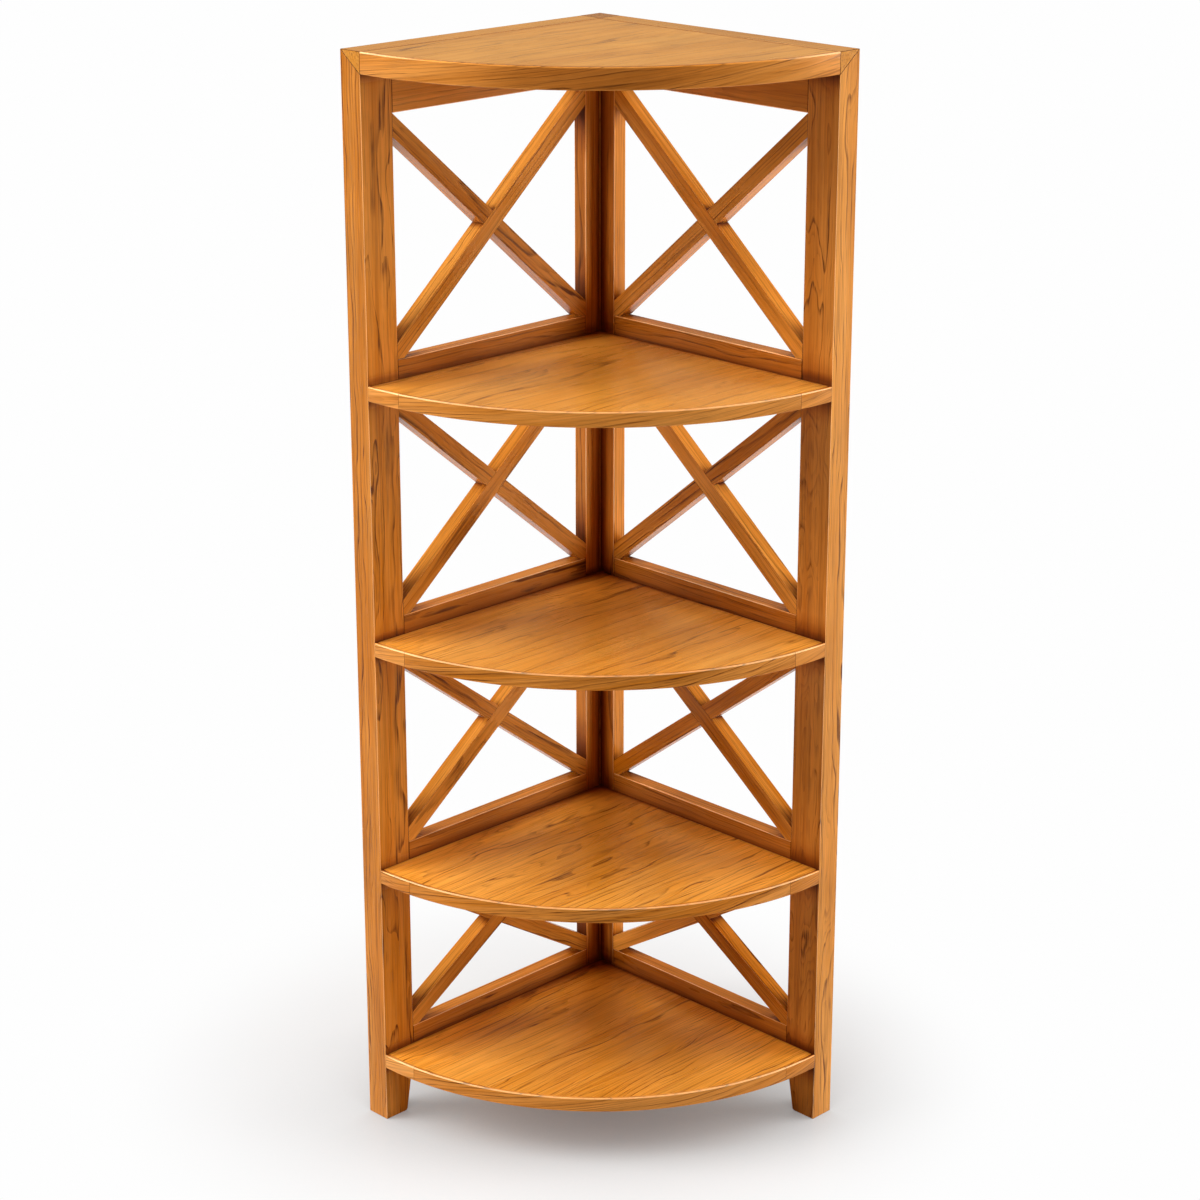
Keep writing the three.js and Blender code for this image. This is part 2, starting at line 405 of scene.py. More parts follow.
def nook(point, normal, others, reaches):
    """Painted shade: 0 in the open, and down to -1 where other boards stand close over a
    spot.
    """
    shut = 0.0
    for reach in reaches:
        away = others.find_nearest(point + normal * reach, reach)[3]
        if away is not None:
            shut += 1.0 - away / reach
    return -shut / len(reaches)


# painted shade reaches this far from a corner
print("polish gathers within", nook_reaches[-1] * 1000, "mm of a corner")


# %% Storing the grain
def mark_grain(
    mesh, name, grain, edge_of, strip_of=None, shade_of=None, reaches=nook_reaches
):
    """Stores the trunk place, the tone, the end grain and the shading of every corner of
    the mesh.
    """
    board = mesh.attributes.new("board", "FLOAT_VECTOR", "CORNER")
    tone_end_joints_and_shading = mesh.attributes.new("tone_end_joints_and_shading", "FLOAT_VECTOR", "CORNER")
    others = other_boards(name)
    known = {}
    for polygon in mesh.polygons:
        strip = name if strip_of is None else f"{name} strip {strip_of(polygon.center)}"
        start, tone = trunk_place(strip)
        end = 1.0 if grain.is_end(polygon.center, polygon.normal) else 0.0
        edge = edge_of(polygon)
        facing = tuple(round(part, 1) for part in polygon.normal)
        for corner in polygon.loop_indices:
            vertex = mesh.loops[corner].vertex_index
            point = mesh.vertices[vertex].co
            if (vertex, facing) not in known:
                known[vertex, facing] = nook(point, polygon.normal, others, reaches)
                if shade_of is not None:
                    known[vertex, facing] += shade_of(point)
            dark = known[vertex, facing] * (shade_boost if edge > bright_mark else 1.0)
            board.data[corner].vector = [a + b for a, b in zip(grain.place(point), start)]
            tone_end_joints_and_shading.data[corner].vector = (tone, end, max(-1.0, edge + dark))


# the third number, printed as wear, is painted light and shade, and dark joints
print("each mesh corner stores board (trunk place) and finish (tone, end, wear)")

# %% [markdown]
# ## Varnished teak
#
# Teak is a golden brown hardwood with thin dark growth lines 3 to 6 mm apart and coarse
# open pores. It was sawn, sanded and varnished, so it has a soft sheen and its pores are
# only just felt. The figure is one node group: rings round the heart that wander along
# the board, curl into flames, swell round a few small knots, are broken by thin streaks
# and differ in strength. Long streaks, short dark pores, fine fibres and broad lighter
# bands across are added. The palest boards are straight grained, so their flames are low
# and their lines faint. Pores are really 0.3 mm wide, too fine to show here, so they are
# drawn 1.2 mm wide.
#
# Painted shade browns the wood in nooks and corners, dark joints brown it at seams, and a
# painted highlight leaves the eased edges pale and bright. All are read from the third
# number that each mesh corner stores.

# %% The figure's inputs and outputs
figure = bpy.data.node_groups.new("teak_figure", "ShaderNodeTree")
name_sockets(figure, {
    "Light": ("Color", tint("#E0A05C")), "Mid": ("Color", tint("#C47A32")),
    "Dark": ("Color", tint("#7A3E10")), "Ring spacing": ("Float", 0.0045),
    "Ring strength": ("Float", 0.6), "Streak strength": ("Float", 0.5),
    "Knots": ("Float", 0.2), "Flame": ("Float", 0.02), "Line start": ("Float", 0.70),
}, {"Colour": "Color", "Height": "Float", "Roughness": "Float"})
given = add(figure, "NodeGroupInput")
trunk = add(figure, "ShaderNodeAttribute", attribute_name="board").outputs["Vector"]
tone_end_joints_and_shading = add(figure, "ShaderNodeAttribute", attribute_name="tone_end_joints_and_shading").outputs["Vector"]
stored_parts = add(figure, "ShaderNodeSeparateXYZ", [tone_end_joints_and_shading])
tone, end, edge = (stored_parts.outputs[axis] for axis in "XYZ")
print("figure takes", [socket.name for socket in given.outputs if socket.name])

# %% Patches of noise, stretched along the grain
# millimetres along and across the grain, detail, roughness
patches = {
    "wander": (620, 85, 1.0, 0.5),
    "flame": (150, 30, 1.5, 0.5),
    "waver": (60, 12, 2.0, 0.5),
    "patchy": (200, 26, 1.0, 0.5),
    "streaks": (420, 14, 4.0, 0.62),
    "thin_streaks": (150, 2.6, 3.0, 0.65),
    "fibres": (60, 1.3, 2.0, 0.7),
    "pores": (24, 1.2, 1.5, 0.5),
    "clusters": (90, 24, 1.0, 0.5),
    "bands": (95, 150, 1.5, 0.5),
    "blotches": (240, 110, 1.0, 0.5),
}
noise = {}
for name, (along_mm, across_mm, detail, roughness) in patches.items():
    scale = (1000 / along_mm, 1000 / across_mm, 1000 / across_mm)
    stretched = add(figure, "ShaderNodeVectorMath", [trunk, scale], operation="MULTIPLY")
    noise[name] = add(
        figure, "ShaderNodeTexNoise",
        {"Vector": stretched, "Scale": 1, "Detail": detail, "Roughness": roughness},
    )
print("widest patch", patches["bands"][1], "mm, finest", patches["pores"][1], "mm")

# %% Where each pattern shows
# its patches, the values between which it sets in, and how much of it is left elsewhere
windows = {
    "streaks": ("streaks", 0.36, 0.70, 0.0),
    "thin_streaks": ("thin_streaks", 0.46, 0.66, 0.0),
    "pores": ("pores", 0.58, 0.68, 0.0),
    "clusters": ("clusters", 0.38, 0.62, 0.15),
    "clear_rings": ("patchy", 0.32, 0.60, 0.30),
    "unbroken": ("thin_streaks", 0.38, 0.58, 0.36),
}
marks = {}
for name, (patch, low, high, least) in windows.items():
    marks[name] = add(
        figure, "ShaderNodeMapRange",
        {"Value": noise[patch], "From Min": low, "From Max": high, "To Min": least},
        interpolation_type="SMOOTHSTEP",
    )
print(len(marks), "patterns that show in patches")

# %% Knots
knot_cell = (330, 90, 90)  # mm, one chance of a knot in each
knot_radii = {"swell": (0.42, 0.0), "core": (0.07, 0.02)}  # shares of a cell
knot_scale = tuple(1000 / size for size in knot_cell)
knot_space = add(figure, "ShaderNodeVectorMath", [trunk, knot_scale], operation="MULTIPLY")
knot_spots = add(figure, "ShaderNodeTexVoronoi", {"Vector": knot_space, "Scale": 1})
knot_near = knot_spots.outputs["Distance"]
knot_dice = add(figure, "ShaderNodeSeparateXYZ", [knot_spots.outputs["Color"]])
knot_here = add(
    figure, "ShaderNodeMath", [knot_dice, given.outputs["Knots"]], operation="LESS_THAN"
)
knots = {}
for part, (outer, inner) in knot_radii.items():
    within = add(
        figure, "ShaderNodeMapRange",
        {"Value": knot_near, "From Min": outer, "From Max": inner},
        interpolation_type="SMOOTHSTEP",
    )
    knots[part] = add(figure, "ShaderNodeMath", [within, knot_here], operation="MULTIPLY")
print(f"knots about {2 * knot_radii['core'][0] * knot_cell[1]:.0f} mm across")

# %% Rings round the heart
straight_share = 0.15  # of its flames, that the palest board keeps
lively_tone = 0.35  # from this tone on a board has all its flames
uneven_scale, uneven_height = 60, 0.007  # rings crowd and part every 17 mm, by 7 mm
trunk_parts = add(figure, "ShaderNodeSeparateXYZ", [trunk])
slice_place = add(
    figure, "ShaderNodeCombineXYZ",
    {"Y": trunk_parts.outputs["Y"], "Z": trunk_parts.outputs["Z"]},
)
heart = add(figure, "ShaderNodeVectorMath", [slice_place], operation="LENGTH")
lively = add(
    figure, "ShaderNodeMapRange",
    {"Value": tone, "From Max": lively_tone, "To Min": straight_share},
)
flame_height = add(
    figure, "ShaderNodeMath", [lively, given.outputs["Flame"]], operation="MULTIPLY"
)
# what pushes the rings out, and how far in metres
pushes = [
    (noise["wander"], 0.034), (noise["flame"], flame_height), (noise["waver"], 0.0036),
    (knots["swell"], 0.013),
]
pushed = heart.outputs["Value"]
for push, distance in pushes:
    pushed = add(
        figure, "ShaderNodeMath", [push, distance, pushed], operation="MULTIPLY_ADD"
    )
uneven = add(
    figure, "ShaderNodeTexNoise", {"W": pushed, "Scale": uneven_scale},
    noise_dimensions="1D",
)
spread = add(
    figure, "ShaderNodeMath", [uneven, uneven_height, pushed], operation="MULTIPLY_ADD"
)
counted = add(
    figure, "ShaderNodeMath", [spread, given.outputs["Ring spacing"]], operation="DIVIDE"
)
print("the palest boards keep", straight_share, "of their flames")

# %% Growth lines
line_peak = 0.93  # where in a ring its line is darkest
deepening_share = 0.18  # how dark the slow deepening before it gets
least_bold, more_bold = 0.42, 0.50  # each line is as bold as chance has it
fine_lines = 3.0  # finer ones in each ring
phase = add(figure, "ShaderNodeMath", [counted], operation="FRACT")
closer = add(figure, "ShaderNodeMath", [counted, fine_lines], operation="MULTIPLY")
fine_phase = add(figure, "ShaderNodeMath", [closer], operation="FRACT")
# what rises smoothly, from where to where in its ring, and how high
slopes = {
    "rise": (phase, given.outputs["Line start"], line_peak, 1.0),
    "fall": (phase, 1.0, line_peak, 1.0),
    "fine line": (fine_phase, 0.50, 1.0, 0.45),
}
drawn = {}
for name, (value, low, high, most) in slopes.items():
    drawn[name] = add(
        figure, "ShaderNodeMapRange",
        {"Value": value, "From Min": low, "From Max": high, "To Max": most},
        interpolation_type="SMOOTHSTEP",
    )
thin_line = add(
    figure, "ShaderNodeMath", [drawn["rise"], drawn["fall"]], operation="MULTIPLY"
)
deepening = add(figure, "ShaderNodeMath", [phase, 2.0], operation="POWER")
line = add(
    figure, "ShaderNodeMath", [deepening, deepening_share, thin_line],
    operation="MULTIPLY_ADD",
)
fine_dice = add(figure, "ShaderNodeMath", [closer], operation="FLOOR")
fine_bold = add(figure, "ShaderNodeTexWhiteNoise", {"W": fine_dice}, noise_dimensions="1D")
fine_rings = add(
    figure, "ShaderNodeMath", [drawn["fine line"], fine_bold], operation="MULTIPLY"
)
number = add(figure, "ShaderNodeMath", [counted], operation="FLOOR")
dice = add(figure, "ShaderNodeTexWhiteNoise", {"W": number}, noise_dimensions="1D")
bold = add(
    figure, "ShaderNodeMath", [dice, more_bold, least_bold], operation="MULTIPLY_ADD"
)
bold_here = add(
    figure, "ShaderNodeMath", [bold, marks["clear_rings"]], operation="MULTIPLY"
)
bold_rings = add(figure, "ShaderNodeMath", [line, bold_here], operation="MULTIPLY")
rings = add(figure, "ShaderNodeMath", [bold_rings, fine_rings], operation="ADD")
print("a ring's line is darkest at", line_peak, "of the ring")

# %% Tone of the wood
blotch_share = 0.8
all_light, all_mid = 0.35, 1.45  # sums of tone, blotch and streak with one colour only
toned = add(
    figure, "ShaderNodeMath", [noise["blotches"], blotch_share, tone],
    operation="MULTIPLY_ADD",
)
streaky = add(
    figure, "ShaderNodeMath",
    [marks["streaks"], given.outputs["Streak strength"], toned],
    operation="MULTIPLY_ADD",
)
golden = add(
    figure, "ShaderNodeMapRange",
    {"Value": streaky, "From Min": all_light, "From Max": all_mid},
)
base = add(
    figure, "ShaderNodeMix",
    {"Factor_Float": golden, "A_Color": given.outputs["Light"],
     "B_Color": given.outputs["Mid"]},
    data_type="RGBA",
)
print("boards are light up to a sum of", all_light, "and golden from", all_mid)

# %% Dark marks: rings, thin streaks, pores, end grain and knots
faint_share = 0.45  # how strong the marks of the palest board are
full_tone = 0.5  # from this tone on they are at full strength
strength = add(
    figure, "ShaderNodeMapRange",
    {"Value": tone, "From Max": full_tone, "To Min": faint_share},
)
own_strength = add(
    figure, "ShaderNodeMath", [strength, given.outputs["Ring strength"]],
    operation="MULTIPLY",
)
broken_rings = add(
    figure, "ShaderNodeMath", [rings, marks["unbroken"]], operation="MULTIPLY"
)
ring_part = add(
    figure, "ShaderNodeMath", [broken_rings, own_strength], operation="MULTIPLY"
)
pores = add(
    figure, "ShaderNodeMath", [marks["pores"], marks["clusters"]], operation="MULTIPLY"
)
thin_marks = add(
    figure, "ShaderNodeMath", [marks["thin_streaks"], strength], operation="MULTIPLY"
)
pore_spots = add(figure, "ShaderNodeMath", [pores, strength], operation="MULTIPLY")
# each mark with its share of the dark colour
shares = [(thin_marks, 0.28), (pore_spots, 0.28), (end, 0.22), (knots["core"], 0.75)]
darkness = ring_part
for mark, share in shares:
    darkness = add(
        figure, "ShaderNodeMath", [mark, share, darkness], operation="MULTIPLY_ADD"
    )
darkness.use_clamp = True
darkened = add(
    figure, "ShaderNodeMix",
    {"Factor_Float": darkness, "A_Color": base, "B_Color": given.outputs["Dark"]},
    data_type="RGBA",
)
print("a knot's core has", shares[-1][1], "of the dark colour")

# %% Painted edge highlights, painted shade, dark joints, bands and fibres
crest_start = 0.8  # an eased edge gets its painted highlight from this value on
# painted highlight: pale cream mixed into eased edges, which are also made brighter, as are
# faces with painted light
paling, edge_lift = 0.38, 0.5
# painted shade and dark joints brown the wood with #C0A88C, deeper the more shut in
shade_power, tint_strength = 1.5, 3.0
crest = add(
    figure, "ShaderNodeMapRange", {"Value": edge, "From Min": crest_start, "From Max": 1.0}
)
paled = add(figure, "ShaderNodeMath", [crest, paling], operation="MULTIPLY")
edge_highlighted = add(
    figure, "ShaderNodeMix",
    {"Factor_Float": paled, "A_Color": darkened, "B_Color": tint("#FBDDAE")},
    data_type="RGBA",
)
joint_and_shade = add(figure, "ShaderNodeMath", [edge, 0.0], operation="MINIMUM")
shut_in = add(figure, "ShaderNodeMath", [joint_and_shade, -1.0], operation="MULTIPLY")
shade_and_joint_depth = add(figure, "ShaderNodeMath", [shut_in, shade_power], operation="POWER")
tint_depth = add(figure, "ShaderNodeMath", [shade_and_joint_depth, tint_strength], operation="MULTIPLY")
brown_shade_tint = add(figure, "ShaderNodeGamma", {"Color": tint("#C0A88C"), "Gamma": tint_depth})
darker = add(figure, "ShaderNodeVectorMath", [edge_highlighted, brown_shade_tint], operation="MULTIPLY")
lit_edge = add(figure, "ShaderNodeMath", [edge, 0.0], operation="MAXIMUM")
lightness = add(
    figure, "ShaderNodeMath", [lit_edge, edge_lift, 1.0], operation="MULTIPLY_ADD"
)
# noise, the values between which it goes from dark to light, and by how much
for patch, low, high, depth in [("bands", 0.3, 0.7, 0.07), ("fibres", 0.25, 0.75, 0.12)]:
    change = add(
        figure, "ShaderNodeMapRange",
        {"Value": noise[patch], "From Min": low, "From Max": high, "To Min": 1.0 - depth,
         "To Max": 1.0 + depth},
    )
    lightness = add(figure, "ShaderNodeMath", [lightness, change], operation="MULTIPLY")
coloured = add(
    figure, "ShaderNodeVectorMath", {"Vector": darker, "Scale": lightness},
    operation="SCALE",
)
print("edges are paled by", paling, "and lit by up to", edge_lift)

# %% Height and sheen
fibre_height, pore_depth = 0.5, 0.6
dullest, shiniest = 0.28, 0.19  # roughness, between the lowest and highest spots
crest_polish, nook_dullness = 0.10, 0.45
raised = add(
    figure, "ShaderNodeMath", [noise["fibres"], fibre_height, ring_part],
    operation="MULTIPLY_ADD",
)
height = add(
    figure, "ShaderNodeMath", [pores, -pore_depth, raised], operation="MULTIPLY_ADD"
)
satin = add(
    figure, "ShaderNodeMapRange",
    {"Value": height, "From Min": -0.3, "From Max": 1.0, "To Min": dullest,
     "To Max": shiniest},
)
edge_gloss_and_end_light = add(
    figure, "ShaderNodeMath", [crest, -crest_polish, satin], operation="MULTIPLY_ADD"
)
dulled = add(
    figure, "ShaderNodeMath", [shade_and_joint_depth, nook_dullness, edge_gloss_and_end_light],
    operation="MULTIPLY_ADD", use_clamp=True,
)
add(figure, "NodeGroupOutput", {"Colour": coloured, "Height": height, "Roughness": dulled})
print(len(figure.nodes), "nodes in the figure of teak")

# %% [markdown]
# ## One varnish, six cuts of timber
#
# All the timber is the same teak under the same satin varnish. The joiner picked plain,
# streaky stock for posts and laths, broad boards for shelves and top, and a thin,
# strongly marked strip for the lippings, so each cut gets its own settings. The growth
# lines of the shelf boards are drawn 7 mm apart, a little coarser than real ones, so that
# they still show from the camera. Varnish has an index of refraction near 1.5. It has
# yellowed, so its sheen is amber, and it was rubbed to a satin, with a roughness between
# 0.19 and 0.28, so the room and the softboxes show in it as soft pale patches.

# %% Timber for each family of boards
# light, mid and dark colour, ring spacing in mm, strength of rings and streaks, share of
# knots, flame in mm, and where in a ring its dark line starts: later on the broad boards,
# so that their lines are finer
timbers = {
    "post_wood": ("#E89E48", "#C07014", "#5C2804", 5.5, 1.20, 0.50, 0.30, 30, 0.70),
    # rails and stiles get darker colours than the other cuts, a painted shade for where
    # they stand under the shelves and by the corner
    "rail_wood": ("#DA8E38", "#AE600A", "#5A2803", 4.6, 1.05, 0.50, 0.10, 12, 0.70),
    "brace_wood": ("#E69C42", "#BE6E12", "#5C2804", 4.8, 0.95, 0.55, 0.04, 5, 0.70),
    "border_wood": ("#E49E40", "#C87A18", "#663006", 4.6, 0.95, 0.45, 0.08, 8, 0.70),
    "panel_wood": ("#EAA242", "#CC7C18", "#703A04", 7.0, 1.10, 0.40, 0.0, 26, 0.79),
    "lipping_wood": ("#E89E4E", "#BE6C12", "#5C2804", 4.2, 1.15, 0.50, 0.25, 12, 0.70),
}
varnished = {}
for slot_name, timber in timbers.items():
    light, mid, dark, spacing, ring, streak, knotted, flame, line_start = timber
    material, tree = blank_material(f"satin_varnished_teak_{slot_name}")
    marked = add(tree, "ShaderNodeGroup", node_tree=figure)
    for key, value in {
        "Light": tint(light), "Mid": tint(mid), "Dark": tint(dark),
        "Ring spacing": spacing / 1000, "Ring strength": ring,
        "Streak strength": streak, "Knots": knotted, "Flame": flame / 1000,
        "Line start": line_start,
    }.items():
        marked.inputs[key].default_value = value
    felt = add(
        tree, "ShaderNodeBump",
        {"Strength": 0.25, "Distance": 0.0006, "Height": marked.outputs["Height"]},
    )
    wood = add(
        tree, "ShaderNodeBsdfPrincipled",
        {"Base Color": marked.outputs["Colour"], "Roughness": marked.outputs["Roughness"],
         "IOR": 1.5, "Specular IOR Level": 0.36, "Specular Tint": tint("#F6B96E"),
         "Normal": felt},
    )
    add(tree, "ShaderNodeOutputMaterial", {"Surface": wood})
    varnished[slot_name] = material
print("timbers:", ", ".join(varnished))

# %% [markdown]
# ## Straight boards
#
# Posts, rails, stiles, laths and border strips come from the drawing as they are. Only
# their edges change: a joiner takes the sharpness off the long ones with sandpaper, and
# this thin rounded edge is what catches the light. At a joint the edges stay all but
# square, and a dark line shows, drawn 0.6 mm wide on each board, wider than a real one,
# so that the camera sees it. A copy of each board is merged into one skin, its flat faces
# are joined, and its edges get a bevel of their own width. Modelling each board anew
# would also work, but the copy keeps every mitre and half lap where the joiner cut it.
#
# Some boards have painted light on faces turned one way and painted shade on faces turned
# the other, and the narrow faces of rails and laths have painted light. So a board's stored
# shading also follows which way a face looks.

# %% Which boards are cut from which timber
# how a board's name starts, its timber, and how far its edges are rounded, in metres
families = {
    "post_front": ("post_wood", 0.0020), "post_corner": ("post_wood", 0.0020),
    "stile": ("rail_wood", 0.0009), "rail": ("rail_wood", 0.0009),
    "brace": ("brace_wood", 0.0009), "top_border": ("border_wood", 0.0012),
}
straight_boards = {
    name: timber for start, timber in families.items()
    for name in sorted(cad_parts) if name.startswith(start)
}
print(len(straight_boards), "straight boards:", ", ".join(families))


# %% Easing the edges of a board
flat, sharp = math.radians(0.5), math.radians(30)  # less is no bend, more is an edge
same_spot = 0.00001  # m
rounding_steps = 3


def merged_copy(name):
    """A copy of a drawn board as one skin, with its flat faces joined."""
    skin = bmesh.new()
    skin.from_mesh(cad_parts[name].data)
    bmesh.ops.remove_doubles(skin, verts=skin.verts, dist=same_spot)
    bmesh.ops.dissolve_limit(skin, angle_limit=flat, verts=skin.verts, edges=skin.edges)
    return skin


def cut_across(skin, spot, along):
    """Cuts all the faces at a spot, square to a direction."""
    bmesh.ops.bisect_plane(
        skin, geom=skin.verts[:] + skin.edges[:] + skin.faces[:],
        plane_co=spot, plane_no=along,
    )


def cut_in_lengths(skin, along, length):
    """Cuts across the skin at every length, so that its stored shading can change along it.
    """
    ends = [vert.co.dot(along) for vert in skin.verts]
    for i in range(1, math.ceil((max(ends) - min(ends)) / length)):
        cut_across(skin, along * (min(ends) + i * length), along)


def finished(name, skin, material, rounding):
    """The skin as a finished mesh, with the marked edges rounded."""
    mesh = bpy.data.meshes.new(name)
    skin.to_mesh(mesh)
    skin.free()
    mesh.materials.append(material)
    mesh.materials.append(material)
    draft = bpy.data.objects.new(name + "_draft", mesh)
    put_in_scene(draft)
    bevel = draft.modifiers.new("eased_edges", "BEVEL")
    bevel.limit_method = "WEIGHT"
    bevel.width = rounding
    bevel.segments = rounding_steps
    bevel.material = 1
    bevel.harden_normals = True
    seen = draft.evaluated_get(bpy.context.evaluated_depsgraph_get())
    made = bpy.data.meshes.new_from_object(seen)
    bpy.data.objects.remove(draft)
    bevelled = {polygon.index for polygon in made.polygons if polygon.material_index == 1}
    for polygon in made.polygons:
        polygon.material_index = 0
    made.materials.pop(index=1)
    return made, bevelled


def place_piece(name, mesh, slot_name, *nodes):
    """Puts a finished mesh in the scene in place of its drawn boards."""
    piece = bpy.data.objects.new(name, mesh)
    put_in_scene(piece)
    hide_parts(*nodes)
    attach(piece, "root")


print("edges are rounded in", rounding_steps, "steps")

# %% Edges that meet another board
joint_width = 0.0006  # m
joint_slant = 0.25  # an edge that leans this much along the board lies at its joint
parallel = 0.97  # edges this much along the board run lengthwise
level_slope = 0.01  # a board that rises less than this lies level
touch = 0.0005  # m, nearer than this two things meet
most_face_light = 0.79  # just below where an eased edge gets its painted highlight
inner_corner = Vector((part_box("post_corner")[1].x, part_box("post_corner")[0].y, 0))


def meets_panel(name, edge):
    """Whether this is the edge of a border strip that lies against the board of the top."""
    if "border" not in name:
        return False
    return all(
        abs(vert.co.x - inner_corner.x) < touch or abs(vert.co.y - inner_corner.y) < touch
        for vert in edge.verts
    )


def edge_joint_and_face_light(name, bevelled, along):
    """1 on an eased edge, for its painted highlight, -1 on one at a joint, and the painted
    light and shade of its face elsewhere.
    """
    def judge(polygon):
        if polygon.index in bevelled:
            return -1.0 if abs(polygon.normal.dot(along)) > joint_slant else 1.0
        return painted_face_light(name, polygon.normal)
    return judge


# how much painted light a board gets on faces turned towards +x (painted shade, where below
# 0), and how much painted shade it gets on faces turned towards -y
facing_light_tones = {
    "post_front_left": (0.20, 0.12), "post_front_right": (0.0, 0.26),
    "stile_left": (0.12, 0.34), "stile_right": (0.5, 0.34),
    "rail_left": (-0.14, 0.0), "rail_right": (0.0, 0.18),
    "rail_top_right": (0.0, 0.24), "brace_right": (1.15, 0.12),
}
# how much painted light the narrow faces of rails and laths get, above and below
narrow_face_light = {"rail_left": (0.7, 0.0), "rail_right": (0.7, 0.0), "brace": (0.25, 0.5)}


def tones_of(name, table):
    """The two tones of the first family in the table that a board belongs to, or none."""
    return next((tones for start, tones in table.items() if name.startswith(start)), (0, 0))


def painted_face_light(name, normal):
    """Painted light on faces turned towards +x, painted shade on faces turned towards -y,
    and painted light on narrow faces above and below.
    """
    toward_x_light, darker = tones_of(name, facing_light_tones)
    above, below = tones_of(name, narrow_face_light)
    side = toward_x_light * max(0.0, normal.x) - darker * max(0.0, -normal.y)
    level = above * max(0.0, normal.z) + below * max(0.0, -normal.z)
    return min(most_face_light, side + level)


print("joints show as a line", joint_width * 1000, "mm wide on each side")

# %% Making the straight boards
along_step, across_step = 0.010, 0.008  # m, between cuts, so that the stored shading can change
walls = {
    "left": Vector((1, 0, 0)), "right": Vector((0, -1, 0)), "corner": Vector((1, -1, 0)),
}
tallied = {}
for name, (slot_name, rounding) in straight_boards.items():
    skin = merged_copy(name)
    longest = max(skin.edges, key=lambda edge: edge.calc_length())
    along = (longest.verts[1].co - longest.verts[0].co).normalized()
    if along.z < 0 or (abs(along.z) < level_slope and along.x + along.y < 0):
        along = -along
    wall = next(walls[side] for side in walls if side in name)
    through = (wall - along * wall.dot(along)).normalized()
    cut_in_lengths(skin, along, along_step)
    cut_in_lengths(skin, through, across_step)
    cut_in_lengths(skin, through.cross(along), across_step)
    weight = skin.edges.layers.float.new("bevel_weight_edge")
    for edge in skin.edges:
        run = (edge.verts[1].co - edge.verts[0].co).normalized()
        corner = edge.calc_face_angle(0) > sharp
        lengthwise = abs(run.dot(along)) > parallel
        on_floor = max(vert.co.z for vert in edge.verts) < touch
        edge.smooth = not corner
        if corner:
            free = (lengthwise or on_floor) and not meets_panel(name, edge)
            edge[weight] = 1.0 if free else joint_width / rounding
    centre = sum((vert.co for vert in skin.verts), Vector()) / len(skin.verts)
    for face in skin.faces:
        face.smooth = True
    mesh, bevelled = finished(name, skin, varnished[slot_name], rounding)
    grain = StraightGrain(centre, along, wall)
    thin = name.startswith(("rail", "brace", "stile_right"))
    reaches = short_reaches if thin else nook_reaches
    mark_grain(mesh, name, grain, edge_joint_and_face_light(name, bevelled, along), reaches=reaches)
    place_piece(f"teak_{name}", mesh, slot_name, name)
    tallied[name] = len(mesh.polygons)
print(f"{len(tallied)} boards eased, {sum(tallied.values())} faces")

# %% [markdown]
# ## Shelf boards
#
# A shelf and the top are quarter rounds, glued up from narrower boards whose grain runs
# parallel to the left frame. The drawing has them as coarse curves with a glue line in
# front of the lipping. The finished shelf has no gap there, so the board is drawn again
# with a finer curve that meets the lipping, and it is cut along the joins between its
# narrower boards, so that each of them has its own figure.
#
# Painted shade darkens the corner of the shelves and a little their middle, and painted
# light brightens their ends. The dark line along the frame is drawn 1.3 mm wide, and 3.5 mm
# on the top, wider than a real seam, so that the camera sees it.

# %% Quarter-round boards
shelf_radius = 0.368  # m
glue_line = 0.0003  # m, round a board
curve_steps = 120
strip_width = 0.074  # m, of each of the narrower boards
join_line = 0.0004  # m, half of the faint line where two of them meet
frame_line = {"top_panel": 0.0035, **{f"shelf_{i}_panel": 0.0013 for i in (1, 2, 3, 4)}}
shading_cuts = (0.005, 0.009)  # m from the frame, where the dark line and the painted shade change fast
shelf_step = 0.012  # m, between its cuts elsewhere
seam_brown, join_brown = -0.6, -0.35
corner_reach = 0.26  # m
end_light_from = 0.2  # of the way from the middle of a shelf to its ends
# how much painted shade a board gets in its corner and its middle, and painted light at its
# ends
shelf_painted_light = {
    "top_panel": (0.0, 0.0, 0.0), "shelf_1_panel": (0.30, 0.05, 0.18),
    "shelf_2_panel": (0.46, 0.18, 0.40), "shelf_3_panel": (0.45, 0.0, 0.78),
    "shelf_4_panel": (0.50, 0.10, 0.78),
}
print("shelves turn about", [round(value, 3) for value in inner_corner])


def strip_of(point):
    """Which of the glued boards a point lies in, counted from the left frame."""
    return int((point.x - inner_corner.x) // strip_width)


def corner_shade(name):
    """Painted shade in the corner and the middle of a shelf, and painted light at its ends.
    """
    in_corner, in_middle, edge_gloss_and_end_light = shelf_painted_light[name]

    def judge(point):
        x, y = point.x - inner_corner.x, inner_corner.y - point.y
        away = min(1.0, math.hypot(x, y) / corner_reach)
        aside = abs(math.atan2(y, x) / (math.pi / 4) - 1.0)
        at_ends = max(0.0, aside - end_light_from) / (1.0 - end_light_from)
        painted_light = edge_gloss_and_end_light * at_ends - in_middle * (1.0 - aside ** 2)
        return painted_light * away - in_corner * (1.0 - away)
    return judge


def panel_edge(name):
    """A dark line along the frame, and a faint one where two of the glued boards meet."""
    def judge(polygon):
        x, y = polygon.center.x - inner_corner.x, inner_corner.y - polygon.center.y
        if min(x, y) < frame_line[name]:
            return seam_brown
        join = round(x / strip_width)
        on_join = abs(x - join * strip_width) < join_line and join > 0
        return join_brown if on_join else 0.0
    return judge


